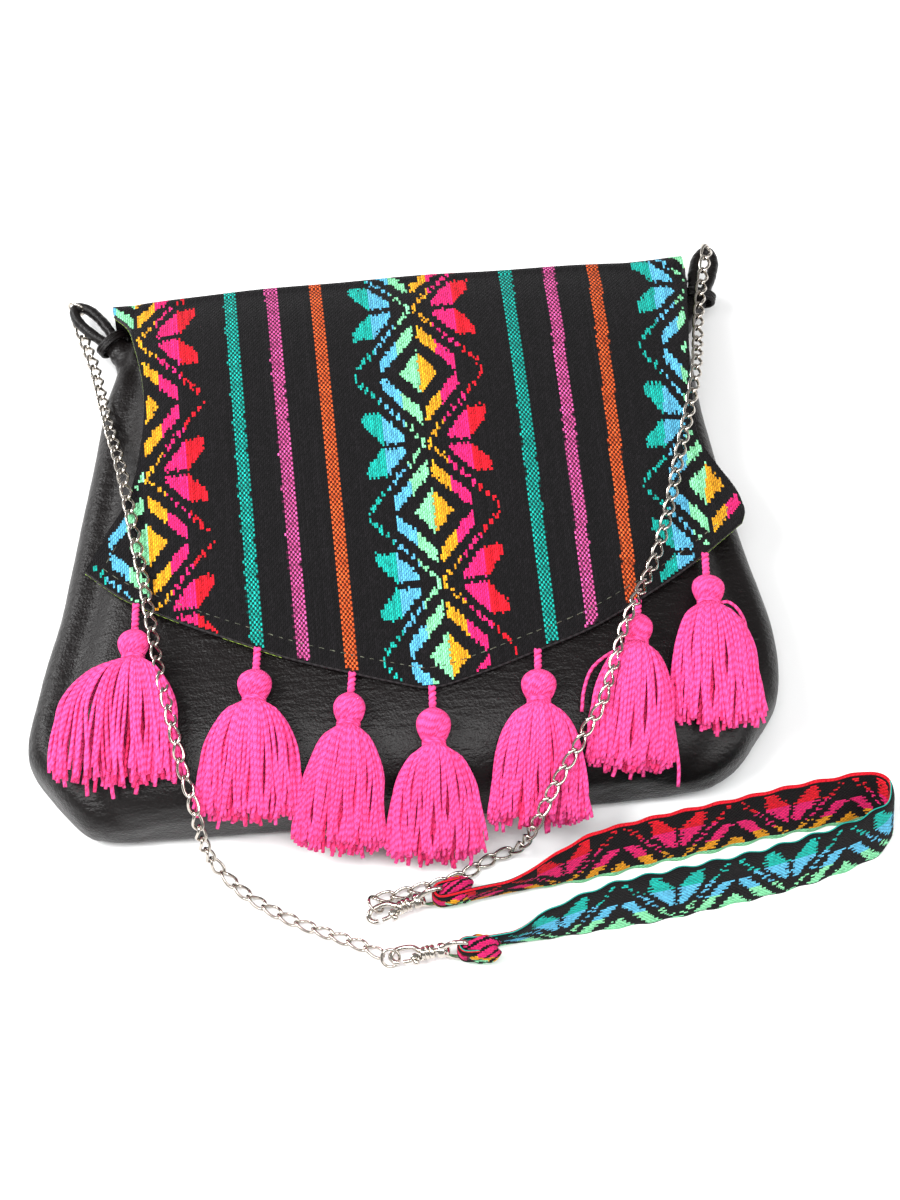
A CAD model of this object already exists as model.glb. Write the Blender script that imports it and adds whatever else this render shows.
import math
import random

import bpy
import numpy as np
from mathutils import Matrix, Vector, noise


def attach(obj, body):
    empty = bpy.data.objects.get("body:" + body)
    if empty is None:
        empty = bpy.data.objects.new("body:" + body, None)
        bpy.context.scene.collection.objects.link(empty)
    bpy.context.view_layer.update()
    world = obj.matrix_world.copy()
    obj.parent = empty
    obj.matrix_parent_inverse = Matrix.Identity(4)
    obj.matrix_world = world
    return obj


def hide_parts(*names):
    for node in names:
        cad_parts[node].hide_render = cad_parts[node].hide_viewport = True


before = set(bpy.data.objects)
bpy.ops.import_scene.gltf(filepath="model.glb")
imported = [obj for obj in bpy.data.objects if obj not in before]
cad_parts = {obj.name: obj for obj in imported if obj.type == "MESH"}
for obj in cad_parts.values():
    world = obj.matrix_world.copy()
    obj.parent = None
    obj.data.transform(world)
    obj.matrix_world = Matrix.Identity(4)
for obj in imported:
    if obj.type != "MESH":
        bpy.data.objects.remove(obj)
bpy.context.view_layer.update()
random.seed(11)
dice = np.random.default_rng(11)
mm = 0.001

# General helpers


def rgb(*values):  # linear colour from 0-255 values as seen on a screen
    shares = [value / 255 for value in values]
    return tuple(c / 12.92 if c <= 0.04045 else ((c + 0.055) / 1.055) ** 2.4 for c in shares)


def meshPiece(name, points, faces):
    data = bpy.data.meshes.new(name)
    data.from_pydata((np.asarray(points, float) * mm).tolist(), [], faces)
    data.update()
    data.shade_smooth()
    piece = bpy.data.objects.new(name, data)
    bpy.context.scene.collection.objects.link(piece)
    return piece


def finishPiece(piece, material, node=None, body="bag"):
    piece.data.materials.append(material)
    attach(piece, body)
    if node:
        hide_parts(node)
    return piece


def onlySelect(*pieces):
    bpy.ops.object.select_all(action="DESELECT")
    for piece in pieces:
        piece.select_set(True)
    bpy.context.view_layer.objects.active = pieces[0]


def joinPieces(pieces, name):
    onlySelect(*pieces)
    bpy.ops.object.join()
    pieces[0].name = pieces[0].data.name = name
    return pieces[0]


def modify(piece, kind, **settings):
    modifier = piece.modifiers.new(kind.lower(), kind)
    for key, value in settings.items():
        setattr(modifier, key, value)
    onlySelect(piece)
    bpy.ops.object.convert(target="MESH")


def around(count):  # evenly spaced angles of a full turn
    return np.linspace(0, 2 * math.pi, count, endpoint=False)


def runOf(line):  # length from the start at each point of a line
    return np.concatenate([[0], np.cumsum(np.linalg.norm(np.diff(line, axis=0), axis=1))])


def evenly(line, run, steps):
    at = np.linspace(0, run[-1], steps + 1)
    return at, np.stack([np.interp(at, run, values) for values in line.T], axis=1)


def curveThrough(points, steps):  # centripetal curve, with steps in each span
    pts = [np.asarray(p, float) for p in points]
    pts = [2 * pts[0] - pts[1], *pts, 2 * pts[-1] - pts[-2]]
    dense = []
    for a, b, c, d in zip(pts, pts[1:], pts[2:], pts[3:]):
        t1, t2, t3 = np.cumsum([np.linalg.norm(step) ** 0.5 for step in (b - a, c - b, d - c)])
        for t in np.linspace(t1, t2, steps, endpoint=False):
            a1 = (t1 - t) / t1 * a + t / t1 * b
            a2 = (t2 - t) / (t2 - t1) * b + (t - t1) / (t2 - t1) * c
            a3 = (t3 - t) / (t3 - t2) * c + (t - t2) / (t3 - t2) * d
            b1 = (t2 - t) / t2 * a1 + t / t2 * a2
            b2 = (t3 - t) / (t3 - t1) * a2 + (t - t1) / (t3 - t1) * a3
            dense.append((t2 - t) / (t2 - t1) * b1 + (t - t1) / (t2 - t1) * b2)
    return np.array([*dense, pts[-2]])


def smoothPath(points, steps):  # curve through points, at evenly spaced places
    line = curveThrough(points, 24)
    return evenly(line, runOf(line), steps)[1]


def frames(path, closed=False):
    # unit side and up vectors along a path, carried along without twist
    if closed:
        forward = np.roll(path, -1, axis=0) - np.roll(path, 1, axis=0)
    else:
        forward = np.gradient(path, axis=0)
    forward /= np.linalg.norm(forward, axis=1)[:, None]
    side = np.cross(forward[0], [0, 0, 1] if abs(forward[0][2]) < 0.8 else [0, 1, 0])
    sides = []
    for f in forward:
        side = side - f * (side @ f)
        side = side / np.linalg.norm(side)
        sides.append(side)
    sides = np.array(sides)
    return sides, np.cross(sides, forward), forward


def ringFaces(rows, count, capped=True):
    faces = [(r * count + k, r * count + (k + 1) % count, (r + 1) * count + (k + 1) % count,
              (r + 1) * count + k) for r in range(rows - 1) for k in range(count)]
    if capped:
        faces.append(tuple(reversed(range(count))))
        faces.append(tuple((rows - 1) * count + k for k in range(count)))
    return faces


def turned(name, profile, sides):  # turned solid about +X from rows of (x, radius)
    c, s = np.cos(around(sides)), np.sin(around(sides))
    rings = [np.column_stack([np.full(sides, x), radius * c, radius * s]) for x, radius in profile]
    return meshPiece(name, np.concatenate(rings), ringFaces(len(profile), sides, capped=False))


def tubes(name, paths, radii, sides, tones=None, closed=False):
    # round tubes along paths in one mesh, with a map of turns and lengths
    points, quads, uvs, shades, caps, capUvs, capShades = [], [], [], [], [], [], []
    offset = 0
    k = np.arange(sides)
    n = (k + 1) % sides
    c, s = np.cos(around(sides))[:, None], np.sin(around(sides))[:, None]
    for index, path in enumerate(paths):
        count = len(path)
        rows = count if closed else count - 1
        radius = np.broadcast_to(radii[index] if hasattr(radii, "__len__") else radii, (count,))
        side, up, _ = frames(path, closed)
        ring = side[:, None] * c + up[:, None] * s
        points.append((path[:, None] + ring * radius[:, None, None]).reshape(-1, 3))
        run = runOf(path)
        run = np.append(run, run[-1] + np.linalg.norm(path[0] - path[-1]))
        a = offset + np.arange(rows)[:, None] * sides
        b = offset + (np.arange(1, rows + 1) % count)[:, None] * sides
        quads.append(np.stack([a + k, a + n, b + n, b + k], axis=2).reshape(-1, 4))
        low, high = run[:rows, None], run[1:rows + 1, None]
        u, w = k / sides, (k + 1) / sides
        uvs.append(np.stack(np.broadcast_arrays(u, low, w, low, w, high, u, high), axis=2).ravel())
        tone = 0.5 if tones is None else tones[index]
        shades.append(np.full(rows * sides * 4, tone))
        if not closed:
            last = offset + rows * sides
            caps.extend([(offset + k[::-1]).tolist(), (last + k).tolist()])
            capUvs.append(np.array([0.5, 0] * sides + [0.5, run[rows]] * sides))
            capShades.append(np.full(sides * 2, tone))
        offset += count * sides
    piece = meshPiece(name, np.concatenate(points), np.concatenate(quads).tolist() + caps)
    layer = piece.data.uv_layers.new(name="thread")
    layer.data.foreach_set("uv", np.concatenate(uvs + capUvs).astype(np.float32))
    if tones is not None:
        tone = piece.data.attributes.new("tone", "FLOAT", "CORNER")
        tone.data.foreach_set("value", np.concatenate(shades + capShades).astype(np.float32))
    return piece


# Shape of the bag, in millimetres

body = {"width": 327, "length": 259, "bottom": -125, "thickness": 52, "wall": 1.8,
        "crease": 4.0, "frontPower": 2.8, "backPower": 4.5, "mouth": (-112, 128)}
body["top"] = body["bottom"] + body["length"]
bodySections = {
    "along": [0, .01, .035, .077, .143, .25, .405, .56, .714, .838, .907, .954, 1],
    "left": [.423, .446, .468, .493, .52, .503, .466, .437, .409, .389, .368, .348, .334],
    "right": [.344, .37, .404, .431, .465, .471, .451, .435, .424, .42, .409, .396, .386],
    "front": [.5, .65, .79, .9, .97, 1, 1, .975, .925, .845, .77, .7, .6],
    "side": [.27, .3, .35, .39, .41, .42, .42, .4, .38, .36, .35, .34, .33],
    "back": [.12, .04, 0, 0, 0, 0, 0, 0, 0, 0, .01, .055, .075],
}
flap = {"width": 286, "wall": 1.6, "tipAbove": 113, "hemAbove": 39, "reach": 5.6,
        "drape": 0.92, "gap": 0.8, "heldTo": 112, "heldDown": 15}
flapEdges = {
    "along": [0, .07, .13, .34, .5, .62, .71, .8, .87, .92, .96, 1],
    "left": [.427, .405, .397, .384, .388, .397, .408, .428, .451, .464, .476, .488],
    "right": [.486, .484, .481, .469, .461, .458, .463, .484, .505, .512, .513, .506],
}
hemShape = {
    "along": [-.488, -.432, -.345, -.259, -.194, -.108, -.03, .007, .05, .144, .237, .31, .377,
              .433, .475, .506],
    "fall": [0, .231, .447, .625, .746, .869, .965, 1, .975, .857, .73, .585, .423, .262, .12, 0],
}
corners = {
    "left": {"x": -.378, "along": .965, "height": .32, "heading": 35},
    "right": {"x": .444, "along": .965, "height": .32, "heading": -16, "inward": 10,
              "slim": .45},
}


def column(table, name, t):  # smooth value of one column at shares t along a table
    along = np.array(table["along"], float)
    value = np.array(table[name], float)
    t = np.asarray(t, float)
    last = len(along) - 1
    i = np.clip(np.searchsorted(along, t, side="left") - 1, 0, last - 1)
    before = np.maximum(i - 1, 0)
    after = np.minimum(i + 2, last)
    span = along[i + 1] - along[i]
    s = np.clip((t - along[i]) / span, 0, 1)
    slopeA = (value[i + 1] - value[before]) / (along[i + 1] - along[before])
    slopeB = (value[after] - value[i]) / (along[after] - along[i])
    return ((2 * s**3 - 3 * s**2 + 1) * value[i] + (s**3 - 2 * s**2 + s) * span * slopeA
            + (3 * s**2 - 2 * s**3) * value[i + 1] + (s**3 - s**2) * span * slopeB)


def bodyAt(y):
    t = np.clip((np.asarray(y, float) - body["bottom"]) / body["length"], 0, 1)
    left = -column(bodySections, "left", t) * body["width"]
    right = column(bodySections, "right", t) * body["width"]
    heights = {key: column(bodySections, key, t) * body["thickness"]
               for key in ("front", "side", "back")}
    return {"middle": (left + right) / 2, "half": (right - left) / 2, **heights}


def frontHeight(x, y, looseness=1.0):
    at = bodyAt(y)
    across = np.minimum(np.abs((x - at["middle"]) / at["half"] * looseness), 1)
    crown = (1 - across ** body["frontPower"]) ** (1 / body["frontPower"])
    return at["side"] + (at["front"] - at["side"]) * crown


# Materials


def feed(node, inputs):  # a socket is linked and a value is set
    for key, value in inputs.items():
        if isinstance(value, bpy.types.NodeSocket):
            node.id_data.links.new(value, node.inputs[key])
        else:
            node.inputs[key].default_value = value


def newMaterial(name, inputs):
    material = bpy.data.materials.new(name)
    material.use_nodes = True
    shader = material.node_tree.nodes["Principled BSDF"]
    feed(shader, inputs)
    return material, material.node_tree, shader


def addNode(tree, kind, inputs, **settings):
    node = tree.nodes.new(kind)
    for key, value in settings.items():
        setattr(node, key, value)
    feed(node, inputs)
    return node.outputs


def calc(operation, *values):
    tree = next(value.id_data for value in values if isinstance(value, bpy.types.NodeSocket))
    return addNode(tree, "ShaderNodeMath", dict(enumerate(values)), operation=operation)[0]


def scaled(value, factor, rest):  # value times factor, plus rest
    return calc("MULTIPLY_ADD", value, factor, rest)


def between(tree, value, low, high):
    inputs = {"Value": value, "To Min": low, "To Max": high}
    return addNode(tree, "ShaderNodeMapRange", inputs)[0]


def noiseOn(tree, scale, detail=2.0, stretch=None):
    place = addNode(tree, "ShaderNodeTexCoord", {})["Object"]
    if stretch:
        place = addNode(tree, "ShaderNodeMapping", {"Vector": place, "Scale": stretch})[0]
    inputs = {"Vector": place, "Scale": scale, "Detail": detail}
    return addNode(tree, "ShaderNodeTexNoise", inputs)["Fac"]


def bumpOn(tree, shader, height, distance, strength):
    inputs = {"Height": height, "Distance": distance, "Strength": strength}
    feed(shader, {"Normal": addNode(tree, "ShaderNodeBump", inputs)[0]})


def threadMap(tree):  # the two counts of the map called thread
    place = addNode(tree, "ShaderNodeUVMap", {}, uv_map="thread")[0]
    split = addNode(tree, "ShaderNodeSeparateXYZ", {"Vector": place})
    return split[0], split[1]


def leatherMaterial():
    material, tree, shader = newMaterial("softLeather", {
        "Base Color": (*rgb(13, 9, 9), 1), "Specular IOR Level": 0.28})
    place = addNode(tree, "ShaderNodeTexCoord", {})["Object"]
    grain = addNode(tree, "ShaderNodeTexVoronoi", {"Vector": place, "Scale": 950.0},
                    feature="SMOOTH_F1")["Distance"]
    pores = noiseOn(tree, 2200.0)
    folds = noiseOn(tree, 60.0, 4.0)
    wrinkles = noiseOn(tree, 260.0, 3.0, (0.45, 1.5, 1.0))
    height = scaled(folds, 1.6, scaled(grain, 0.5, calc("MULTIPLY", pores, 0.4)))
    bumpOn(tree, shader, scaled(wrinkles, 1.3, height), 0.0004, 0.9)
    feed(shader, {"Roughness": between(tree, folds, 0.3, 0.44)})
    return material


def yarnMaterial(name, light, deep):
    material, tree, shader = newMaterial(name, {
        "Roughness": 0.85, "Sheen Weight": 0.35, "Sheen Roughness": 0.5,
        "Sheen Tint": (*light, 1)})
    tone = addNode(tree, "ShaderNodeAttribute", {}, attribute_name="tone")["Fac"]
    fine = noiseOn(tree, 900.0)
    turn, length = threadMap(tree)
    start = scaled(tone, 37.0, calc("MULTIPLY", turn, 2.0))
    spiral = scaled(length, 0.31, start)
    ply = calc("ABSOLUTE", calc("SINE", calc("MULTIPLY", spiral, math.pi)))
    bumpOn(tree, shader, scaled(ply, 1.0, calc("MULTIPLY", fine, 0.5)), 0.0005, 0.9)
    share = calc("MULTIPLY", scaled(fine, 0.5, tone), scaled(ply, 0.55, 0.5))
    inputs = {"Factor": share, "A": (*deep, 1), "B": (*light, 1)}
    mixed = addNode(tree, "ShaderNodeMix", inputs, data_type="RGBA")["Result"]
    feed(shader, {"Base Color": mixed})
    return material


def clothMaterial():  # woven cloth: each stitch has its colour, and the map counts threads
    material, tree, shader = newMaterial("wovenCloth", {
        "Roughness": 0.88, "Specular IOR Level": 0.12, "Sheen Weight": 0.03,
        "Sheen Roughness": 0.6})
    colour = addNode(tree, "ShaderNodeAttribute", {}, attribute_name="stitch")["Color"]
    u, v = threadMap(tree)
    column, across = calc("FLOOR", u), calc("FRACT", u)
    shifted = scaled(across, 0.45, scaled(calc("MODULO", column, 2.0), 0.5, v))
    rounds = []
    for place, power in ((across, 2.5), (calc("FRACT", shifted), 4.0)):
        away = calc("ABSOLUTE", scaled(place, 2.0, -1.0))
        rounds.append(calc("SUBTRACT", 1.0, calc("POWER", away, power)))
    thread = calc("MULTIPLY", *rounds)
    bumpOn(tree, shader, scaled(noiseOn(tree, 1500.0, 3.0), 0.5, thread), 0.00045, 0.85)
    inputs = {0: colour, "Scale": between(tree, thread, 0.5, 1.12)}
    shaded = addNode(tree, "ShaderNodeVectorMath", inputs, operation="SCALE")[0]
    feed(shader, {"Base Color": shaded})
    return material


def nickelMaterial():
    material, tree, shader = newMaterial("nickelPlate", {
        "Base Color": (*rgb(190, 183, 174), 1), "Metallic": 1.0})
    marks = noiseOn(tree, 500.0, 3.0)
    feed(shader, {"Roughness": between(tree, marks, 0.1, 0.24)})
    bumpOn(tree, shader, marks, 0.00005, 0.4)
    return material


softLeather = leatherMaterial()
pinkYarn = yarnMaterial("pinkYarn", rgb(249, 78, 156), rgb(222, 12, 76))
wovenCloth = clothMaterial()
nickelPlate = nickelMaterial()
print("materials ready")

# Leather body


def bodyRing(y, count):
    at = {key: float(value) for key, value in bodyAt(y).items()}
    c, s = np.cos(around(count)), np.sin(around(count))
    power = np.where(s >= 0, body["frontPower"], body["backPower"])
    across = np.sign(c) * np.abs(c) ** (2 / power)
    rise = np.abs(s) ** (2 / power)
    away = (np.abs(across) - 0.9) / 0.045
    crease = np.where(s > 0.05, body["crease"] * np.exp(-away * away), 0)
    crease *= min(at["front"] / body["thickness"], 1)
    top = at["side"] + (at["front"] - at["side"]) * rise - crease
    under = np.maximum(at["back"], at["side"] - (at["side"] - at["back"]) * rise * 1.08)
    return np.stack([at["middle"] + across * at["half"], np.full(count, y),
                     np.where(s >= 0, top, under)], axis=1)


def cornerFrame(corner):
    heading = math.radians(corner["heading"])
    c, s = math.cos(heading), math.sin(heading)
    foot = np.array([corner["x"] * body["width"],
                     body["bottom"] + corner["along"] * body["length"],
                     corner["height"] * body["thickness"]])
    return foot, np.array([-s, c, 0]), np.array([c, s, 0])


neck = {"length": 26, "width": 12.4, "depth": 7, "rows": 40, "sides": 84, "pleats": 7}
neckSections = {
    "along": [-.35, 0, .35, .65, .88, 1.0],
    "width": [2.3, 2.0, 1.6, 1.25, 1.0, 1.0],
    "depth": [3.4, 3.0, 2.3, 1.6, 1.0, 1.0],
    "pleat": [0, .03, .08, .12, .1, .06],
}


def neckPiece(corner):  # gathered leather below a collar
    foot, out, side = cornerFrame(corner)
    angle = around(neck["sides"])
    rings = []
    for t in np.linspace(neckSections["along"][0], 1, neck["rows"]):
        pleat, width, depth = (float(column(neckSections, key, t))
                               for key in ("pleat", "width", "depth"))
        swell = 1 + pleat * (np.cos(neck["pleats"] * angle) - 0.6)
        width *= neck["width"] / 2 * (1 - corner.get("slim", 0) * (1 - t))
        inward = corner.get("inward", 0) * (1 - t) ** 1.3
        centre = foot + out * (t - 1) * neck["length"] - side * inward
        ring = centre + side * (np.cos(angle) * swell * width)[:, None]
        ring[:, 2] = centre[2] + np.sin(angle) * swell * depth * neck["depth"] / 2
        rings.append(ring)
    return meshPiece("neck", np.concatenate(rings), ringFaces(neck["rows"], neck["sides"]))


def lumps(place, scale):
    return noise.fractal(Vector(place) / scale, 0.9, 2.0, 2)


def leatherBody():
    spots = np.concatenate([np.linspace(0, 0.15, 16), np.linspace(0.17, 1, 60)])
    sides = 200
    rings = [bodyRing(body["bottom"] + t * body["length"], sides) for t in spots]
    shell = meshPiece("leatherBody", np.concatenate(rings), ringFaces(len(rings), sides))
    whole = joinPieces([shell, *map(neckPiece, corners.values())], "leatherBody")
    whole.data.remesh_voxel_size = 2.5 * mm
    bpy.ops.object.voxel_remesh()
    modify(whole, "SMOOTH", iterations=3)
    # soft creases and gathers pressed into the leather
    feet = [cornerFrame(corner)[:2] for corner in corners.values()]
    for vertex in whole.data.vertices:
        p = np.array(vertex.co) / mm
        normal = np.array(vertex.normal)
        push = 0.55 * lumps(p * (1, 0.6, 1), 46)
        push += 0.5 * max(0.0, 1 - p[2] / 45) * lumps(p * (1, 0.45, 1.6), 14)
        for foot, out in feet:
            toward = p - foot
            far = np.linalg.norm(toward[:2])
            if far < 110:
                bearing = math.atan2(toward[0] * out[1] - toward[1] * out[0], -(toward @ out))
                ridge = math.cos(bearing * 15 + 0.6 * math.sin(far / 17))
                push += 0.95 * ridge * math.exp(-far / 38) * (1 - math.exp(-far / 14))
        low = min(1.0, max(0.0, (p[2] - 1.0) / 4))
        vertex.co = (p + normal * (push - 0.35) * low) * mm
    # open the mouth and give the leather its thickness
    bpy.ops.object.mode_set(mode="EDIT")
    bpy.ops.mesh.select_all(action="DESELECT")
    bpy.ops.object.mode_set(mode="OBJECT")
    left, right = body["mouth"]
    for face in whole.data.polygons:
        x, y, _ = face.center / mm
        face.select = y > body["top"] - 1.6 and abs(face.normal.y) > 0.8 and left < x < right
    bpy.ops.object.mode_set(mode="EDIT")
    bpy.ops.mesh.delete(type="FACE")
    bpy.ops.object.mode_set(mode="OBJECT")
    modify(whole, "SOLIDIFY", thickness=body["wall"] * mm, offset=-1)
    whole.data.shade_smooth()
    return whole


finishPiece(leatherBody(), softLeather, "leather_body")
print("leather body")

# Collars and loops of the gathered corners

loop = {"radius": 2.5, "length": 27, "width": 8.4, "dip": 2.5, "gap": 0.3}
loopShape = [(.02, .64), (.12, .66), (.3, .84), (.55, 1.0), (.8, .9), (.95, .5)]
wrap = {"turns": (-1.75, -0.25, 1.25), "wire": 0.92, "over": 1.15}


def loopPoint(corner, along, across):
    foot, out, side = cornerFrame(corner)
    p = foot + out * (loop["gap"] + along * loop["length"]) + side * across * loop["width"] / 2
    p[2] = foot[2] - loop["dip"] * along
    return p


def leatherLoop(name, corner):
    shape = [*[(along, -across) for along, across in loopShape], (1, 0), *reversed(loopShape)]
    path = smoothPath([loopPoint(corner, along, across) for along, across in shape], 110)
    spot = np.arange(len(path))
    radius = loop["radius"] * (0.965 + 0.03 * np.sin(spot * 0.37) + 0.02 * np.sin(spot * 0.9))
    return tubes(name, [path], [radius], 28)


def neckWrap(name, corner):  # leather wound round the collar in flat turns
    foot, out, side = cornerFrame(corner)
    c, s = np.cos(around(56)), np.sin(around(56))
    paths = []
    for turn, along in enumerate(wrap["turns"]):
        path = foot + out * along + side * (c * (neck["width"] / 2 + wrap["over"]))[:, None]
        path[:, 2] = foot[2] + s * (neck["depth"] / 2 + wrap["over"])
        path += out * (0.25 * np.sin(around(56) + turn))[:, None]
        paths.append(path)
    return tubes(name, paths, wrap["wire"], 14, closed=True)


for sideName, corner in corners.items():
    finishPiece(leatherLoop(f"leatherLoop_{sideName}", corner), softLeather,
                f"leather_loop_{sideName}")
    finishPiece(neckWrap(f"neckWrap_{sideName}", corner), softLeather,
                f"neck_wrap_{sideName}")
print("collars and loops")

# Brocade chart. Places are in chart units: a from a motif column's middle, t from a star.

threads = {
    "ground": rgb(17, 15, 17), "teal": rgb(24, 178, 164), "blue": rgb(96, 188, 226),
    "mint": rgb(140, 230, 172), "gold": rgb(240, 166, 34), "pink": rgb(242, 38, 118),
    "red": rgb(234, 26, 44), "orange": rgb(236, 98, 46), "rose": rgb(230, 92, 164),
}
threadNames = list(threads)
bands = [(-66, -42, "teal"), (-42, -20, "blue"), (-20, 0, "mint"),
         (0, 20, "gold"), (20, 43, "pink"), (43, 66, "red")]
repeat = 134.5
petal = np.array([(21, 3), (21, 8), (42, 30), (61, 31.5), (61, 21.5), (44, 3)], float)


def insidePolygon(polygon, x, y):
    inside = np.zeros(x.shape, bool)
    for (x1, y1), (x2, y2) in zip(polygon, np.roll(polygon, -1, axis=0)):
        crosses = (y1 > y) != (y2 > y)
        slope = (x2 - x1) / (y2 - y1) if y2 != y1 else 0.0
        inside ^= crosses & (x < slope * (y - y1) + x1)
    return inside


def motif(a, t):  # number of the thread colour at each place, 0 for the ground
    t = (t + repeat / 2) % repeat - repeat / 2
    td = (t % repeat) - repeat / 2
    across, up = np.abs(a), np.abs(t)
    woven = insidePolygon(petal, across, up)
    spot = (np.floor(up / 5.6) + 0.5) * 5.6
    dot = (np.abs(across - spot) < 2.15) & (np.abs(up - spot) < 2.35)
    woven |= dot & (across < 64)
    diamond = np.abs(np.abs(td) + 0.97 * across - 44)
    woven |= (diamond < 7.3) & (across > 2) & (across < 38) & (np.abs(td) > 2.5)
    woven |= across / 19 + np.abs(td) / 21 < 1
    colour = np.zeros(a.shape, int)
    for low, high, name in bands:
        colour = np.where((a >= low) & (a < high), threadNames.index(name), colour)
    return np.where(woven, colour, 0)


def stitchColours(index, lightness):
    colour = np.array(list(threads.values()))[index] * lightness[..., None]
    return np.concatenate([np.clip(colour, 0, 1), np.ones((*index.shape, 1))], axis=-1)


def paintFaces(piece, colours, uvs):  # colour and map for each four-sided face, in face order
    corner = piece.data.attributes.new("stitch", "FLOAT_COLOR", "CORNER")
    corner.data.foreach_set("color", np.repeat(colours, 4, axis=0).astype(np.float32).ravel())
    layer = piece.data.uv_layers.new(name="thread")
    layer.data.foreach_set("uv", uvs.astype(np.float32).ravel())


downFirst = ((0, 0), (1, 0), (1, 1), (0, 1))
acrossFirst = ((0, 0), (0, 1), (1, 1), (1, 0))


def cellCorners(row, column, order):  # rows and columns of the four corners of grid cells
    return np.stack([np.stack([row + i, column + j], axis=1) for i, j in order], axis=1)


# Woven flap

chart = {"stars": (117.0, 38.0, -34.0), "foldSpan": 76, "rowUnit": 0.558,
         # columns: middle, rise, lean at the top, unit
         "columns": ((-112.0, -6.5, 0, 0.444), (12.0, -3.3, 0, 0.444), (131.0, 5.5, 10, 0.425))}
stripes = [(-69, 0, "teal"), (-50, 0, "rose"), (-30, 0, "orange"), (56, 0.007, "teal"),
           (74.4, 0.018, "rose"), (93.2, 0.03, "orange")]
cell = {"x": 0.9, "y": 1.32}


def edgeShare(y):
    side = body["length"] - flap["tipAbove"]
    return np.clip((body["top"] - y) / side, 0, 1)


def leftEdge(y):
    return -column(flapEdges, "left", edgeShare(y)) * flap["width"]


def rightEdge(y):
    return column(flapEdges, "right", edgeShare(y)) * flap["width"]


def hemLine(x):
    fall = column(hemShape, "fall", np.asarray(x, float) / flap["width"])
    return body["bottom"] + flap["tipAbove"] + fall * (flap["hemAbove"] - flap["tipAbove"])


def foldWave(x):
    return 0.5 * np.sin(x / 11) + 0.4 * np.sin(x / 23 + 1)


def clothHeight(x, y):  # the cloth stays up at the corners of the fold
    share = np.exp((y - body["top"]) / flap["heldDown"])
    held = frontHeight(np.clip(x, -flap["heldTo"], flap["heldTo"]), y, flap["drape"])
    return share * held + (1 - share) * frontHeight(x, y, flap["drape"]) + flap["gap"]


def clothWaves(x, y):  # slight lie of the cloth over the leather
    edge = np.minimum(np.abs(x - leftEdge(y)), np.abs(rightEdge(y) - x))
    hem = np.abs(y - hemLine(x))
    near = np.exp(-np.minimum(edge, hem) / 9)
    ripple = np.sin(x / 8.5 + y / 13) * 0.35 + np.sin(y / 6.2 - x / 17) * 0.3
    return 0.28 * np.sin(x / 31 + 0.7) * np.sin(y / 24) + near * ripple + 0.35


def flapSheet(stepX, stepY, lift):
    # grid on the flap from the back strip over the fold to the hem, and its first front row
    top = body["top"]
    xs = np.arange(-141.5, 149.5, stepX)
    frontRows = np.arange(top, body["bottom"] + flap["hemAbove"] - stepY, -stepY)
    stripRows = np.linspace(0.05, 0.01, max(int(10.4 / stepY), 2))
    foldRows = np.linspace(-math.pi / 2, math.pi / 2, max(int(34 / stepY), 6))
    x = np.clip(xs, leftEdge(top), rightEdge(top))
    topFront = clothHeight(x, top)
    middle = (topFront + bodyAt(top)["back"] - 0.5) / 2
    reach = flap["reach"] + foldWave(x) + 2.6 * np.clip((x - 60) / 75, 0, 1) ** 2
    rows = []
    for y in top - stripRows * body["length"]:
        rows.append((x * 0.985, y, bodyAt(y)["back"] - 0.4))
    for angle in foldRows:
        rows.append((x, top + flap["gap"] + reach * math.cos(angle),
                     middle + (topFront - middle) * math.sin(angle)))
    for place in frontRows[1:]:
        y = np.maximum(place, hemLine(xs))
        fx = np.clip(xs, leftEdge(y), rightEdge(y))
        y = np.maximum(place, hemLine(fx))
        rows.append((fx, y, clothHeight(fx, y)))
    grid = np.array([np.stack(np.broadcast_arrays(*row), axis=1) for row in rows])
    normal = np.cross(np.gradient(grid, axis=0), np.gradient(grid, axis=1))
    size = np.linalg.norm(normal, axis=2)[..., None]
    normal = np.where(size > 1e-6, normal / np.maximum(size, 1e-9), 0)
    # places where the grid folds onto the edge keep the normal of the bag's front
    normal[size[..., 0] < 0.02] = (0, 0, 1)
    first = len(stripRows) + len(foldRows)
    front = grid[first:]
    waves = np.zeros(grid.shape[:2])
    waves[first:] = clothWaves(front[..., 0], front[..., 1])
    waves[first:] *= np.clip(np.arange(len(front)) / 14, 0, 1)[:, None]
    return grid + normal * (lift + waves)[..., None], first


def sheetPiece(name, grid, smallest, order):
    # piece with the grid's cells above the smallest area, their places and their corners
    a, b, c, d = grid[:-1, :-1], grid[:-1, 1:], grid[1:, 1:], grid[1:, :-1]
    keep = np.linalg.norm(np.cross(c - a, d - b), axis=2) / 2 > smallest
    row, column = np.nonzero(keep)
    spots = cellCorners(row, column, order)
    used, faces = np.unique(spots @ (grid.shape[1], 1), return_inverse=True)
    piece = meshPiece(name, grid.reshape(-1, 3)[used], faces.reshape(-1, 4).tolist())
    return piece, row, column, (a + b + c + d)[keep] / 4, spots[..., ::-1]


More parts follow.
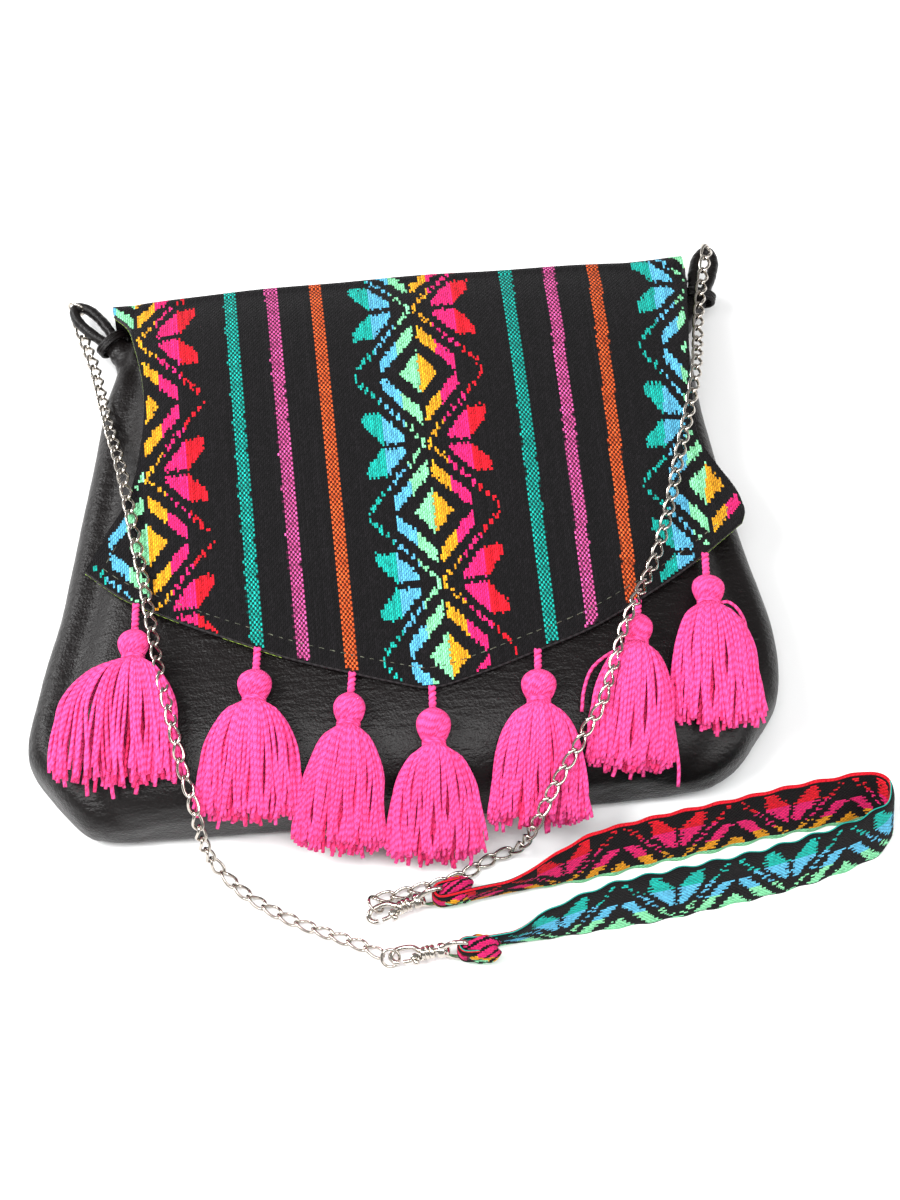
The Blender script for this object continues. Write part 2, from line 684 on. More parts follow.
def flapPiece():
    grid, first = flapSheet(cell["x"], cell["y"], flap["wall"])
    piece, r, k, centre, spots = sheetPiece("wovenFlap", grid, 0.04, downFirst)
    x, y = centre[:, 0], centre[:, 1]
    # lengthwise place in chart units, counted along the cloth
    length = runOf(grid[:, grid.shape[1] // 2])
    high, middle, low = chart["stars"]
    t = np.where(y > middle, (high - y) / (high - middle),
                 1 + (middle - y) / (middle - low)) * repeat
    ahead = (length[first] - length[r]) / chart["foldSpan"] * repeat
    t = np.where(r < first, (high - body["top"]) / (high - middle) * repeat - ahead, t)
    # threads of neighbouring columns start half a stitch apart
    jog = np.where(k % 2 == 0, 0.25, -0.25) * cell["y"] / chart["rowUnit"]
    t = t + jog + dice.normal(0, 0.9, t.shape)
    x = x + dice.normal(0, 0.12, t.shape)
    colour = np.zeros(len(x), int)
    for place, rise, lean, across in chart["columns"]:
        middleX = place + lean * np.clip((y - 5) / 112, 0, 1) ** 0.7
        near = np.abs(x - middleX) < 66 * across
        higher = t + rise / (high - middle) * repeat
        colour = np.where(near, motif((x - middleX) / across, higher), colour)
    checked = np.zeros(len(x), bool)
    for place, lean, name in stripes:
        on = np.abs(x - place - lean * y) < 2.75
        colour = np.where(on, threadNames.index(name), colour)
        checked |= on & ((r + k) % 2 == 0)
    border = np.minimum(np.abs(y - hemLine(x)), np.minimum(x - leftEdge(y), rightEdge(y) - x))
    colour = np.where((border < 0.9) & (r > first), 0, colour)
    light = dice.normal(1.0, 0.13, len(x))
    light *= dice.normal(1.0, 0.12, grid.shape[1])[k]
    fleck = dice.random(len(x))
    light = np.where(colour == 0, light * (0.75 + 0.9 * fleck**3), light)
    light = np.where(checked, 0.1, light)
    paintFaces(piece, stitchColours(colour, np.clip(light, 0.08, 1.7)), spots * (1, 0.62))
    return piece


wovenFlap = finishPiece(flapPiece(), wovenCloth, "woven_flap")
print("woven flap", len(wovenFlap.data.polygons))

# Lining of the flap: its underside


def flapLining():
    piece, row, _, _, spots = sheetPiece("flapLining", flapSheet(5.0, 5.0, 0.25)[0], 0.5,
                                         acrossFirst)
    plain = stitchColours(np.zeros(len(row), int), np.full(len(row), 0.8))
    paintFaces(piece, plain, spots * 5)
    return piece


lining = finishPiece(flapLining(), wovenCloth)


def edgePath(inset, step=1.4):
    # line along the left side, the hem and the right side, set in from the edge
    top = body["top"] - 1.0
    tips = (leftEdge(-12.0), rightEdge(-12.0))
    leftY = np.arange(top, hemLine(tips[0]), -step)
    left = [(leftEdge(y) + inset, y) for y in leftY]
    right = [(rightEdge(y) - inset, y) for y in np.arange(hemLine(tips[1]), top, step)]
    hem = [(x, hemLine(x) + inset * 1.12)
           for x in np.arange(tips[0] + inset, tips[1] - inset, step)]
    left = [p for p in left if p[1] > hem[0][1] + 0.4]
    right = [p for p in right if p[1] > hem[-1][1] + 0.4]
    return np.array([*left, *hem, *right], float)


def onCloth(line, lift):
    x, y = line.T
    return np.column_stack([x, y, clothHeight(x, y) + clothWaves(x, y) + lift])


edgeBand = tubes("flapEdge", [onCloth(edgePath(0.15), 0.75)], 0.78, 10, tones=[0.5])
limeYarn = yarnMaterial("limeYarn", rgb(172, 212, 84), rgb(62, 84, 40))
darkYarn = yarnMaterial("darkYarn", rgb(40, 36, 38), rgb(18, 16, 18))
greyYarn = yarnMaterial("greyYarn", rgb(120, 124, 104), rgb(52, 52, 48))
finishPiece(edgeBand, darkYarn)

# lime yarn shows in three parts of the turned edge, and running stitches lie inside it
limePath = onCloth(edgePath(-0.3, 0.9), 0.35)
limeX = limePath[:, 0]
shown = (limeX < -101) | (limeX > 122) | ((limeX > -84) & (limeX < -58))
cuts = np.flatnonzero(np.diff(shown)) + 1
limePaths = [part for part, on in zip(np.split(limePath, cuts), np.split(shown, cuts)) if on[0]]
limeLine = tubes("edgeThread", limePaths, 0.36, 8, tones=[0.7] * len(limePaths))
finishPiece(limeLine, limeYarn)

runs = []
inner = onCloth(edgePath(7.4, 0.5), 1.72)
spot = int(np.argmax(inner[:, 1] < 2)) + 6
hemEnd = len(inner) - int(np.argmax(inner[::-1, 1] < 2)) - 6
while spot < hemEnd - 8:
    length = random.choice((4, 5, 5, 6))
    stitch = inner[spot:spot + length + 1].copy()
    stitch[[0, -1], 2] -= 0.5
    runs.append(stitch)
    spot += length + random.choice((3, 4, 4))
hemStitches = tubes("hemStitches", runs, 0.2, 6, tones=[random.uniform(0, 1) for _ in runs])
finishPiece(hemStitches, greyYarn)
print("flap edges")

# Tassels

tassel = {"head": 14, "headLength": 15, "skirt": 52, "spread": 20, "stem": 8, "flat": 0.86,
          "waist": 4.6, "depth": 4.2, "edge": body["bottom"] + 0.035 * body["length"],
          "droop": math.radians(46), "gap": 1.9}
tassels = [
    {"x": -.416, "lean": 5, "stem": 1.7, "head": .92, "left": 1.75, "right": 1.0, "skirt": 1.02},
    {"x": -.241, "lean": 7, "stem": 1.42, "head": 1.0, "left": 1.12, "right": 1.02, "skirt": .93},
    {"x": -.105, "lean": 8.5, "stem": 1.25, "head": .92, "left": .94, "right": .92, "skirt": 1.0},
    {"x": .01, "lean": 3.5, "stem": 1.3, "head": 1.0, "left": .98, "right": 1.0, "skirt": .95},
    {"x": .171, "lean": 5, "stem": 1.3, "head": 1.02, "left": 1.04, "right": 1.0, "skirt": .98},
    {"x": .329, "lean": 8.5, "stem": .95, "head": .9, "left": .88, "right": .84, "skirt": 1.02},
    {"x": .441, "lean": 4.5, "stem": 1.55, "head": .96, "left": .9, "right": .98, "skirt": 1.03},
]
skirtSections = {"along": [0, .12, .36, .65, 1], "spread": [0, .47, .81, .92, 1],
                 "depth": [1.1, 1.6, 1.45, 1.2, .8]}
strands = {"count": 150, "outer": 108, "radius": (0.7, 0.84)}
looseStrands = {  # below the waist, across
    1: [[(-.5, -4), (4, -14), (14, -24), (30, -29), (48, -31)]],
    6: [[(0, -4), (5, -12), (12, -18.5), (22, -21.5), (31, -22)],
        [(4, 7), (20, 13), (38, 17.5), (52, 20.5), (60, 21)]],
    7: [[(-2, 5), (-2.6, 8), (0, 11.5), (6, 14.5), (13, 15.5), (26, 17)]],
}


def restHeight(x, y):
    over = np.maximum(tassel["edge"] - y, 0)
    bed = frontHeight(x, np.maximum(y, tassel["edge"]), flap["drape"])
    return bed + tassel["gap"] - over * math.sin(tassel["droop"])


def tasselPlace(row, top, reach, across, rise, depth):
    # points of a tassel from their places along, across and above its bed
    lean = math.radians(row["lean"])
    reach, across, rise = np.broadcast_arrays(reach, across, rise)
    centre = top + reach[:, None] * (-math.sin(lean), -math.cos(lean))
    flat = centre + across[:, None] * (math.cos(lean), -math.sin(lean))
    level = np.maximum(restHeight(*centre.T), restHeight(*flat.T))
    bend = np.maximum(tassel["edge"] - flat[:, 1], 0) * (1 - math.cos(tassel["droop"]))
    return np.column_stack([flat[:, 0], flat[:, 1] + bend, level + depth + rise])


def skirtStrand(row, top, start, skirt, turn, share, length, index):
    t = np.linspace(0, length, 22)
    clipped = np.minimum(t, 1)
    spread = column(skirtSections, "spread", clipped)
    depth = column(skirtSections, "depth", clipped) * tassel["depth"]
    half = row["right" if math.cos(turn) > 0 else "left"] * tassel["spread"]
    wide = tassel["waist"] + (half - tassel["waist"]) * spread
    wide *= 1 + 0.06 * np.sin(math.pi * clipped**0.75)
    share = share * (0.9 + 0.1 * t)
    wander = t**1.3 * 1.5 * np.sin(t * (4.2 + index % 4) + index * 1.7)
    lock = 1 + 0.09 * t * math.cos(5 * turn + row["lean"] + index % 3)
    across = math.cos(turn) * wide * share * lock + wander
    rise = math.sin(turn) * depth * share + t * 0.5 * np.sin(t * 4 + index)
    reach = start + 0.5 + t * (skirt - 1) - 0.1056 * t * start * (across / half) ** 2
    return tasselPlace(row, top, reach, across, rise, depth)


def skirtLines(row, top, waist, index):  # loose strands, the outer ones closest together
    skirt = row["skirt"] * tassel["skirt"]
    for k in range(strands["count"]):
        outer = k < strands["outer"]
        turn = 2 * math.pi * (k * 0.618034 % 1) if outer else random.uniform(0, 2 * math.pi)
        share = random.uniform(0.9, 1.0) if outer else random.uniform(0.15, 0.85)
        length = random.gauss(0.985, 0.035) + 0.02 * math.cos(4 * turn + index)
        yield (skirtStrand(row, top, waist, skirt, turn, share, length, k),
               np.linspace(*strands["radius"], 22) * random.uniform(0.88, 1.1),
               random.uniform(0.45, 1.0) if outer else random.uniform(0.0, 0.45))
    for line in looseStrands.get(index, []):
        down, across, _ = smoothPath([(*place, 0) for place in line], 24).T
        yield tasselPlace(row, top, waist + down, across, 1.2, 1.6), np.full(25, 0.78), 0.8


def headLines(row, top, stem, headRadius):
    # yarn wound over a round core
    waist = stem + tassel["headLength"]
    share = np.linspace(-0.02, 1.03, 18)
    radius = headRadius * np.sin(math.pi * np.clip(0.13 + 0.74 * share, 0.02, 0.98))
    turns = 34
    for k in range(turns):
        turn = 2 * math.pi * k / turns + 1.5 * share
        across, rise = np.cos(turn) * (radius - 0.5), np.sin(turn) * (radius - 0.5)
        yield (tasselPlace(row, top, stem + share * tassel["headLength"], across,
                           rise * tassel["flat"], radius * tassel["flat"]),
               0.42 + 0.42 * np.sin(math.pi * np.clip(share, 0.04, 0.96)),
               random.uniform(0.5, 0.95))
    # binding at the waist
    angle = np.linspace(0, 2 * math.pi, 26)
    wide = tassel["waist"] * 0.97
    for k, along in enumerate(np.linspace(-1.6, 1.4, 4)):
        yield (tasselPlace(row, top, waist + along + 0.3 * np.sin(angle + k),
                           np.cos(angle) * wide, np.sin(angle) * wide * 0.85,
                           tassel["waist"] * 0.9),
               np.full(26, 0.72), random.uniform(0.55, 0.9))
    # stem: two plies twisted together
    along = np.linspace(-0.6, stem + 1.2, 26)
    for k in range(2):
        twist = along / 4.6 * 2 * math.pi + k * math.pi
        yield (tasselPlace(row, top, along, 0.8 * np.cos(twist), 0.75 * np.sin(twist), 1.3),
               np.full(26, 0.95), 0.6 + 0.2 * k)


def tasselPiece(row, index):
    x = row["x"] * flap["width"]
    top = np.array([x, float(hemLine(x)) - 1.2])
    stem = row["stem"] * tassel["stem"]
    headRadius = row["head"] * tassel["head"] / 2
    parts = []
    for lines, sides in ((skirtLines(row, top, stem + tassel["headLength"], index), 6),
                         (headLines(row, top, stem, headRadius), 8)):
        paths, radii, tones = zip(*lines)
        parts.append(tubes("yarn", paths, radii, sides, tones))
    # core that the yarn is wound on
    rows, sides = 14, 20
    c, s = np.cos(around(sides)), np.sin(around(sides))
    rings = []
    for share in np.linspace(0.02, 0.98, rows):
        r = headRadius * math.sin(math.pi * (0.13 + 0.74 * share)) - 0.7
        rings.append(tasselPlace(row, top, np.full(sides, stem + share * tassel["headLength"]),
                                 c * r, s * r * tassel["flat"], r * tassel["flat"] + 0.6))
    core = meshPiece("core", np.concatenate(rings), ringFaces(rows, sides))
    core.data.uv_layers.new(name="thread")
    return joinPieces([*parts, core], f"yarnTassel_{index}")


for number, row in enumerate(tassels, 1):
    finishPiece(tasselPiece(row, number), pinkYarn, f"tassel_{number}")
print("tassels")

# Chains: twisted curb links along each route

chainRoutes = {
    "left": [
        (-139.4, 146.8, 10), (-139, 142, 10.5), (-136.6, 130, 14), (-132.4, 110, 21),
        (-129.4, 88, 29), (-127, 70, 36), (-122, 39, 47), (-117, -6, 53), (-114, -34, 55),
        (-110, -77, 60), (-108, -89, 59), (-106, -102, 56.5), (-104, -113, 47.5),
        (-101.5, -123, 44.5), (-99.8, -131, 36), (-97.5, -135.5, 18), (-93, -138.5, 5),
        (-84, -149, 2.6), (-75, -157, 2.6), (-65, -164, 2.6), (-55, -169.5, 2.6),
        (-45, -174.5, 2.6), (-34, -180, 2.6), (-27.5, -184.7, 3.4),
    ],
    "right": [
        (152.5, 150.4, 18.8), (151.6, 146, 20.4), (149, 136, 22), (146, 124, 24.6),
        (142.3, 106, 29), (140, 92, 33), (136, 70, 42.5),
        (129, 44, 48.5), (121, 18, 52), (113, -9, 54.5), (104, -34, 56.5), (97, -49, 60),
        (91, -61, 65), (85, -73, 64.5), (79, -89, 63.5), (72, -105, 59.5), (66, -112, 54.5),
        (60, -120, 50), (52, -129.5, 43.5), (46, -137, 36.5), (41, -142, 27), (36, -143, 12),
        (31, -142, 4), (25, -143, 2.6), (18, -146.5, 2.6), (9, -151, 2.6),
        (-2, -154, 2.6), (-13, -156, 2.8), (-19, -157.6, 3.2), (-24, -158.1, 3.8),
        (-28.4, -158.6, 4.4),
    ],
}
link = {"pitch": 7.9, "length": 10.6, "width": 5.7, "wire": 0.68, "twist": 1.9}


def linkShape():  # one oval link with its ends twisted against each other, along +X
    c, s = np.cos(around(36)), np.sin(around(36))
    half = link["length"] / 2 - link["wire"]
    wide = link["width"] / 2 - link["wire"]
    x = half * np.sign(c) * np.abs(c) ** 0.8
    y = wide * np.sign(s) * np.abs(s) ** 0.8
    turn = x / half * link["twist"] / 2
    return np.stack([x, y * np.cos(turn), y * np.sin(turn)], axis=1)


def chainPiece(name, route, rolled):
    base = linkShape()
    count = int(round(runOf(smoothPath(route, 900))[-1] / link["pitch"]))
    spots = smoothPath(route, 4 * count)
    side, _, forward = frames(spots)
    paths = []
    for k in range(count):
        at = 4 * k + 2
        f, s = forward[at], side[at]
        level = np.cross(f, [0, 0, 1.0])
        s = level / np.linalg.norm(level) if np.linalg.norm(level) > 0.2 else s
        turn = rolled * math.exp(-((k / count - 0.58) / 0.16) ** 2) + random.uniform(-0.16, 0.16)
        across = s * math.cos(turn) + np.cross(s, f) * math.sin(turn)
        axes = np.array([f, across, np.cross(f, across)])
        paths.append(spots[at] + base @ axes)
    return tubes(name, paths, link["wire"], 9, closed=True)


# Clasps, drawn along +X from the D-shaped loop to the hook's tip

clasp = {"pitch": math.radians(13), "eyeLength": 3, "eyeRadius": 3.3, "gap": 0.3,
         "barrelRadius": 3.1, "barrelLength": 6, "shank": 1.2, "reach": 13, "half": 3.4,
         "wire": 1.15, "ringWire": 1.1, "ringHeight": 14, "ringDepth": 9.5, "lever": 1.1,
         "head": 2.3, "pivotY": 1.9}
clasp["height"] = clasp["ringHeight"] / 2 + clasp["ringWire"] + clasp["gap"]
clasp["barrel"] = (clasp["eyeLength"] / 2 + clasp["gap"]
                   + clasp["barrelRadius"] * math.tan(clasp["pitch"]))
clasp["pivot"] = clasp["barrel"] + clasp["barrelLength"] + 2.6
clasp["bow"] = clasp["barrel"] + clasp["barrelLength"] + clasp["reach"]
clasps = [
    {"name": "clasp_1", "eye": (-11, -163.4), "heading": math.radians(10), "body": "lever_1"},
    {"name": "clasp_2", "eye": (-3, -187), "heading": math.radians(-3), "body": "lever_2"},
]


def primitive(add, place, scale=(1, 1, 1), **settings):
    add(location=(0, 0, 0), **settings)
    piece = bpy.context.object
    piece.data.transform(Matrix.Translation(Vector(place) * mm)
                         @ Matrix.Diagonal((*(Vector(scale) * mm), 1)))
    return piece


def swivelShape():
    half, bar = clasp["ringHeight"] / 2, -clasp["eyeLength"] / 2 - clasp["ringDepth"]
    arm, length = clasp["eyeRadius"], clasp["eyeLength"]
    bore = clasp["shank"] + 0.9
    outside = [(-.5, .88), (-.44, .93), (-.25, 1), (.25, 1), (.44, .93), (.5, .88)]
    eye = turned("eye", [
        (-length / 2, bore), *[(length * x, arm * r) for x, r in outside],
        (length / 2, bore), (0, bore), (-length / 2, bore)], 40)
    wire = [(-0.2, 0, arm - 0.2), (-2, 0, arm + 0.9), (-4, 0, half * .86), (-6, 0, half),
            (bar + 1.6, 0, half), (bar + 0.2, 0, half - 1.2), (bar, 0, half - 2.6), (bar, 0, 0)]
    under = [(x, y, -z) for x, y, z in reversed(wire[:-1])]
    ring = tubes("ring", [smoothPath(wire + under, 120)], clasp["ringWire"], 18)
    return joinPieces([eye, ring], "swivel")


def hookShape():
    start, length, r = clasp["barrel"], clasp["barrelLength"], clasp["barrelRadius"]
    head = clasp["head"]
    back = -clasp["eyeLength"] / 2 - clasp["gap"] - 1.4 - head * math.tan(clasp["pitch"])
    button = [(0, 0), (0, .6), (.25, .85), (.6, 1), (1.2, 1), (1.4, .9)]
    barrel = [(0, .8), (.05, .9), (.12, 1), (.28, 1), (.33, .93), (.36, .82), (.4, .93),
              (.44, 1), (.6, 1), (.65, .93), (.68, .8), (.72, .86), (.76, .9), (.9, .86),
              (.96, .72), (1, .55)]
    shank = turned("shank", [
        *[(back + x, head * w) for x, w in button], (back + 1.4, clasp["shank"]),
        (start, clasp["shank"]), *[(start + s * length, r * w) for s, w in barrel],
        (start + length, 0)], 36)
    root, bow, half = start + length - 1.5, clasp["bow"], clasp["half"]
    path = smoothPath([
        (root, -.4, 0), (root + 2.5, -1.4, 0), (root + 5, .3 - half, 0), (bow - 5, -half, 0),
        (bow - 1.6, .9 - half, 0), (bow, 0, 0), (bow - 1.4, half - .9, 0),
        (bow - 3.6, half - .3, 0)], 90)
    taper = clasp["wire"] * np.interp(np.linspace(0, 1, 91), [0, .2, .8, 1], [1, 1, 1, .86])
    parts = [shank, tubes("bow", [path], [taper], 18)]
    pivotX, pivotY = clasp["pivot"], clasp["pivotY"]
    arm = primitive(bpy.ops.mesh.primitive_cube_add, (pivotX - 1.9, pivotY - .5, -1.85),
                    (5.2, 2.6, 0.9), size=1)
    modify(arm, "BEVEL", width=0.25 * mm, segments=3)
    parts.append(arm)
    for radius, depth, z in ((0.7, 3.6, -0.1), (1.25, 0.6, clasp["lever"] + clasp["gap"] + .3)):
        pin = primitive(bpy.ops.mesh.primitive_cylinder_add, (pivotX, pivotY, z), vertices=32,
                        radius=radius, depth=depth)
        modify(pin, "BEVEL", width=0.15 * mm, segments=2)
        parts.append(pin)
    return joinPieces(parts, "hook")


def leverShape():
    pivotX, pivotY, high = clasp["pivot"], clasp["pivotY"], clasp["lever"]
    knuckle = turned("knuckle", [(-high, 1.02), (-high, 1.7), (-high + .2, 1.9), (high - .2, 1.9),
                                 (high, 1.7), (high, 1.02), (-high, 1.02)], 32)
    knuckle.data.transform(Matrix.Translation((pivotX * mm, pivotY * mm, 0))
                           @ Matrix.Rotation(-math.pi / 2, 4, "Y"))
    noseX, noseY = clasp["bow"] - 3.6, clasp["half"] - 0.3
    end = noseX - clasp["wire"] - clasp["gap"] - 0.25
    middle = pivotX + 1 + (end - pivotX - 1) * 0.6
    path = smoothPath([(pivotX + 1.3, pivotY + .7, 0), (pivotX + 2.4, pivotY + 1.1, 0),
                       (middle, noseY, 0), (end, noseY, 0)], 24)
    bar = tubes("bar", [path], 0.95, 14)
    thumb = primitive(bpy.ops.mesh.primitive_uv_sphere_add, (pivotX - .4, pivotY + 2, 0),
                      segments=24, ring_count=14, radius=1.35)
    return joinPieces([knuckle, bar, thumb], "lever")


def claspPlace(one, pitch=clasp["pitch"]):
    return (Matrix.Translation(Vector((*one["eye"], clasp["height"])) * mm)
            @ Matrix.Rotation(math.pi + one["heading"], 4, "Z") @ Matrix.Rotation(pitch, 4, "Y"))


def finishClasp(piece, place):
    piece.data.transform(place)
    piece.data.shade_smooth()
    onlySelect(piece)
    bpy.ops.object.mode_set(mode="EDIT")
    bpy.ops.mesh.select_all(action="SELECT")
    bpy.ops.mesh.remove_doubles(threshold=1e-6)
    bpy.ops.mesh.normals_make_consistent(inside=False)
    bpy.ops.object.mode_set(mode="OBJECT")
    bpy.ops.object.shade_smooth_by_angle(angle=math.radians(38))


for one in clasps:
    for make, part, bodyName in ((swivelShape, "swivel", "bag"), (hookShape, "hook", "bag"),
                                 (leverShape, "lever", one["body"])):
        piece = make()
        piece.name = f"{one['name']}_{part}_metal"
        finishClasp(piece, claspPlace(one, 0) if part == "swivel" else claspPlace(one))
        finishPiece(piece, nickelPlate, f"{one['name']}_{part}", bodyName)
print("clasps")


def bowPoint(one, x, y):
    return np.array(claspPlace(one) @ Vector((x * mm, y * mm, 0))) / mm


endRing = {"radius": 3.8, "wire": 0.65, "points": 40}


def endLink(centre, *turns):  # round link through a loop or a hook, turned about X, Y and Z
    angle = around(endRing["points"])
    ring = endRing["radius"] * np.stack([np.cos(angle), np.sin(angle), 0 * angle], axis=1)
    for turn, axis in zip(turns, "XYZ"):
        ring = ring @ np.array(Matrix.Rotation(math.radians(turn), 3, axis)).T
    return ring + centre


hookEnds = {"left": (bowPoint(clasps[1], clasp["bow"] + 0.2, 0.5), 42, 0, -3),
            "right": (bowPoint(clasps[0], clasp["bow"] - 4.5, -clasp["half"] - 1.4), 0, 42, 10)}
loopHeadings = {"left": 62, "right": 22}
rolls = {"left": 0.5, "right": 0.9}
for sideName, route in chainRoutes.items():
    name = f"chain_{sideName}_links"
    run = chainPiece(name, route, rolls[sideName])
    loopEnd = (loopPoint(corners[sideName], 1, 0), 0, 90, loopHeadings[sideName])
    rings = tubes("rings", [endLink(*loopEnd), endLink(*hookEnds[sideName])], endRing["wire"],
                  12, closed=True)
    finishPiece(joinPieces([run, rings], name), nickelPlate, f"chain_{sideName}")
print("chains")

# Woven strap

strap = {"width": 28, "wall": 2.4, "lean": 20, "step": 0.92, "rows": 32}
strapRoute = [(17, -184.9), (26, -184.2), (38, -183), (73, -180), (108, -176), (143, -170),
              (175, -162), (190, -154), (193, -146), (186, -140), (171, -141), (133, -146),
              (93, -152), (67, -156), (42, -158.8), (25, -161), (14, -162.4)]


def strapBar(one):  # middle of a D-shaped loop's bar, with the ways out and across
    turn = one["heading"]
    out = np.array([math.cos(turn), math.sin(turn), 0])
    across = np.array([-math.sin(turn), math.cos(turn), 0])
    reach = clasp["eyeLength"] / 2 + clasp["ringDepth"]
    return np.array([*one["eye"], clasp["height"]]) + out * reach, out, across


def strapEnd(one, side):
    bar, out, across = (part[:2] for part in strapBar(one))
    curl = clasp["ringWire"] + clasp["gap"] + strap["wall"] / 2 + 0.5
    points = [bar + out * along + across * side * curl for along in (9, 4.5)]
    for angle in np.linspace(math.pi / 2, math.pi * 1.5, 7):
        points.append(bar + curl * (out * math.cos(angle) + across * side * math.sin(angle)))
    return points


def strapPiece():
    plan = [*strapEnd(clasps[1], -1), *strapRoute, *reversed(strapEnd(clasps[0], 1))]
    dense = curveThrough(plan, 40)
    run = runOf(dense)
    dense = np.column_stack([dense, np.arange(len(dense)) / 40])
    at, line = evenly(dense, run, int(run[-1] / strap["step"]))
    forward = np.gradient(line[:, :2], axis=0)
    forward /= np.linalg.norm(forward, axis=1)[:, None]
    # the folded ends are narrow, and the band opens after them
    fromEnd = np.minimum(line[:, 2], len(plan) - 1 - line[:, 2])
    opening = np.clip((fromEnd - 10) / 2.2, 0, 1)
    spread = opening**2 * (3 - 2 * opening)
    low = clasp["ringHeight"] - 2 * clasp["ringWire"] - 1.6
    height = low + (strap["width"] - low) * spread
    lean = math.radians(strap["lean"]) * spread
    upright = strap["width"] * math.cos(math.radians(strap["lean"])) / 2 + 0.1
    lowest = clasp["height"] + (upright - clasp["height"]) * spread - height * np.cos(lean) / 2
    rows, count = strap["rows"], len(line)
    level = np.linspace(0, 1, rows + 1)[:, None]
    edge = np.abs(level - 0.5) * 2
    # the edges pucker where the band is gathered lengthwise
    pucker = 0.55 * edge**3 * np.sin(at / 2.3 + level * 4) * spread
    wave = 0.5 * np.sin(at / 9 + level * 1.3) * spread
    rise = level * height + pucker * (1 - 2 * (level < 0.5)) * 0.4
    size = (rows + 1) * count
    j, i = (part.ravel() for part in np.indices((rows, count - 1)))
    across = (j + 0.5) / rows
    points, faces, colours, uvs = [], [], [], []
    for number, side, order in ((0, -1, acrossFirst), (1, 1, downFirst)):
        away = side * strap["wall"] / 2 * (1 - edge**8 * 0.75) + wave * 0.35 + pucker
        sheet = np.stack([line[:, 0] - forward[:, 1] * away,
                          line[:, 1] + np.sin(lean) * rise + forward[:, 0] * away,
                          lowest + np.cos(lean) * rise], axis=2)
        points.append(sheet.reshape(-1, 3))
        spots = cellCorners(j, i, order)
        faces.append(spots @ (count, 1) + number * size)
        uvs.append(spots)
        # rows across the band shift against each other like stitches
        run = at[i] + dice.normal(0, 0.45, len(i)) + np.where(j % 2 == 0, 0.5, -0.5)
        colour = motif(side * (across * 64 + 1.0), (run - 8) / 50 * repeat)
        if number == 1:
            colour = np.where(across < 0.09, threadNames.index("mint"), colour)
            colour = np.where(across > 0.955, threadNames.index("red"), colour)
        light = dice.normal(1.0, 0.12, len(i)) * np.where(colour == 0, 0.9, 1.0)
        colours.append(stitchColours(colour, np.clip(light, 0.4, 1.6)))
    # edges and ends that close the band
    low, high = np.arange(count - 1), rows * count + np.arange(count - 1)
    start = np.arange(rows) * count
    end = start + count - 1
    rest = np.concatenate([np.stack(quad, axis=1) for quad in (
        (low, size + low, size + low + 1, low + 1),
        (high, high + 1, size + high + 1, size + high),
        (start, start + count, size + start + count, size + start),
        (end, size + end, size + end + count, end + count))])
    names = np.zeros(len(rest), int)
    names[:count - 1] = threadNames.index("mint")
    names[count - 1:2 * (count - 1)] = np.where(
        at[:-1] < at[-1] / 2, threadNames.index("teal"), threadNames.index("red"))
    colours.append(stitchColours(names, np.full(len(rest), 0.9)))
    uvs.append(np.tile(acrossFirst, (len(rest), 1, 1)))
    piece = meshPiece("strapWeave", np.concatenate(points),
                      np.concatenate([*faces, rest]).tolist())
    paintFaces(piece, np.concatenate(colours), np.concatenate(uvs) * (1, 0.5))
    return piece, float(at[-1])


knot = {"from": -1.5, "to": 13.5, "across": 5.5, "high": 6.4, "folds": 5, "rows": 34,
        "sides": 56}


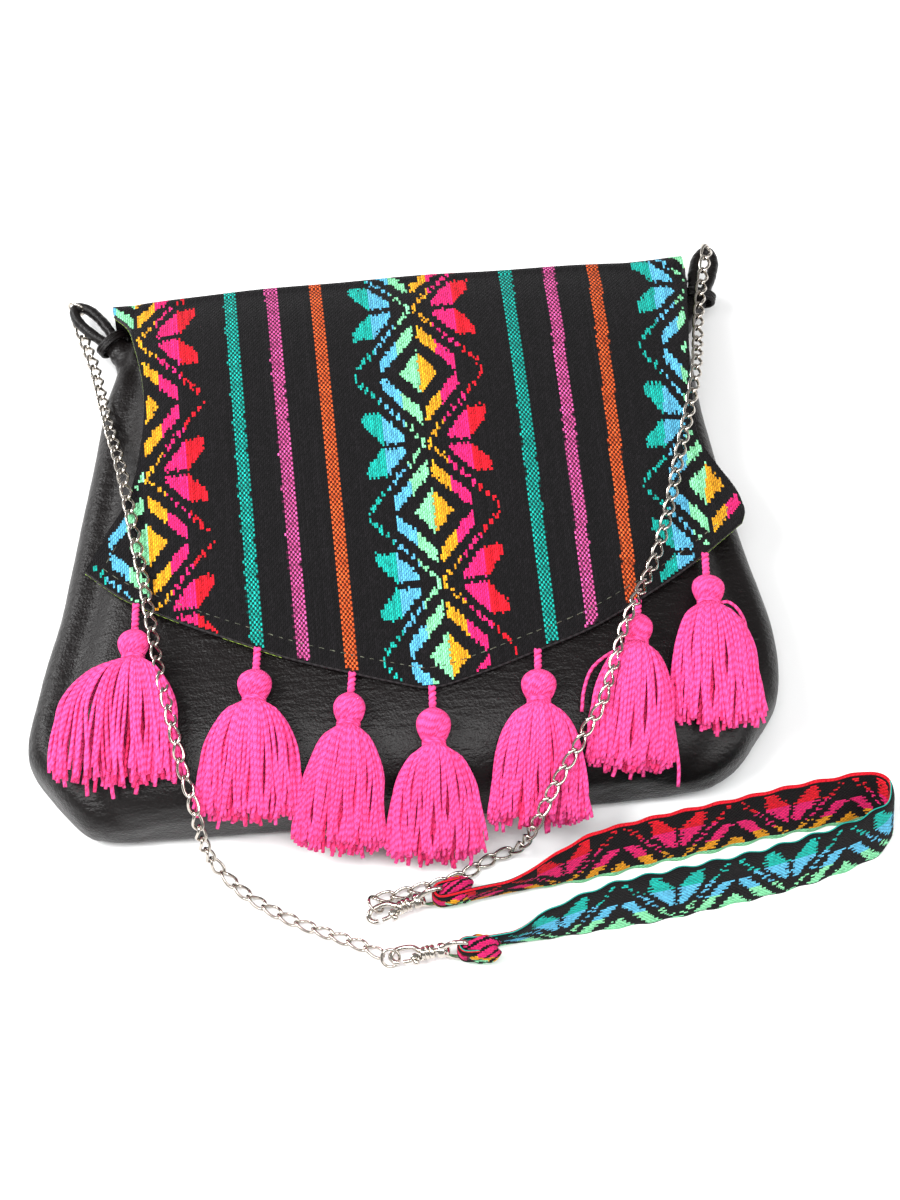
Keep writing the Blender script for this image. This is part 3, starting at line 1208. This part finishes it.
def strapKnot(name, one, seed):  # gathered cloth where the folded end is sewn down
    bar, out, across = strapBar(one)
    rows, sides = knot["rows"], knot["sides"]
    s, angle = np.meshgrid(np.linspace(-1, 1, rows), around(sides), indexing="ij")
    fold = np.sin(knot["folds"] * angle + 2.6 * s + seed)
    fine = np.sin(11 * angle - 4 * s + 2 * seed)
    swell = np.sqrt(np.clip(1.06 - s**2, 0, 1)) ** 0.8 * (1 + 0.11 * fold + 0.045 * fine)
    along = (knot["from"] + knot["to"]) / 2 + s * (knot["to"] - knot["from"]) / 2
    along = along + 0.9 * np.sin(2 * angle + seed)
    wide = knot["across"] * swell * np.cos(angle)
    high = knot["high"] * swell * np.sin(angle)
    points = bar + along[..., None] * out + wide[..., None] * across
    points[..., 2] = np.maximum(points[..., 2] + high, 0.4)
    faces = ringFaces(rows, sides, capped=False)
    level = np.sin(angle) + 0.35 * s
    pink, gold, mint = (threadNames.index(name) for name in ("pink", "gold", "mint"))
    index = np.where(level > 0.42, pink, np.where(level > -0.05, gold, mint))
    bare = np.sin(9 * angle + 6 * s + seed) > 0.45
    index = np.where(bare, 0, index)[:-1].ravel()
    piece = meshPiece(name, points.reshape(-1, 3), faces)
    spots = cellCorners(*np.divmod(np.arange(len(faces)), sides), acrossFirst)
    light = dice.normal(1.0, 0.14, len(index)).clip(0.5, 1.5)
    paintFaces(piece, stitchColours(index, light), spots[..., ::-1])
    return finishPiece(piece, wovenCloth)


strapWeave, strapLength = strapPiece()
finishPiece(strapWeave, wovenCloth, "woven_strap")
knots = [strapKnot(f"strapKnot_{i + 1}", one, 1.3 * i) for i, one in enumerate(clasps)]
print("strap", round(strapLength))

# Floor, light and camera

bpy.ops.mesh.primitive_plane_add(size=6, location=(0, 0, 0))
floor = bpy.context.object
floor.name = "floor"
paleFloor, _, _ = newMaterial("paleFloor", {"Base Color": (0.92, 0.92, 0.92, 1),
                                            "Roughness": 0.9, "Specular IOR Level": 0.1})
floor.data.materials.append(paleFloor)

lights = {
    "keyLight": {"place": (-1.0, -0.35, 1.5), "size": 0.8, "power": 30},
    "fillLight": {"place": (1.3, -0.7, 1.2), "size": 1.2, "power": 15},
    "topLight": {"place": (0.1, -0.8, 2.0), "size": 1.2, "power": 27},
    "rimLight": {"place": (-1.25, 0.8, 0.85), "size": 0.45, "power": 17},
}


def aimed(piece, place, aim):
    piece.location = place
    piece.rotation_euler = (Vector(aim) - Vector(place)).to_track_quat("-Z", "Y").to_euler()
    bpy.context.scene.collection.objects.link(piece)
    return piece


for name, one in lights.items():
    data = bpy.data.lights.new(name, "AREA")
    data.shape = "DISK"
    data.size = one["size"]
    data.energy = one["power"]
    aimed(bpy.data.objects.new(name, data), one["place"], (0, -0.02, 0))
world = bpy.data.worlds.new("studio")
world.use_nodes = True
feed(world.node_tree.nodes["Background"], {"Color": (1, 1, 1, 1), "Strength": 0.32})
bpy.context.scene.world = world
bpy.context.scene.view_settings.view_transform = "Standard"

lens = bpy.data.cameras.new("camera")
lens.lens = 110.7
lens.sensor_width = 36
lens.clip_start = 0.05
lens.clip_end = 20
bpy.context.scene.camera = aimed(bpy.data.objects.new("camera", lens),
                                 (-0.0609, -0.8276, 1.4147), (0.0177, -0.0114, -0.0056))
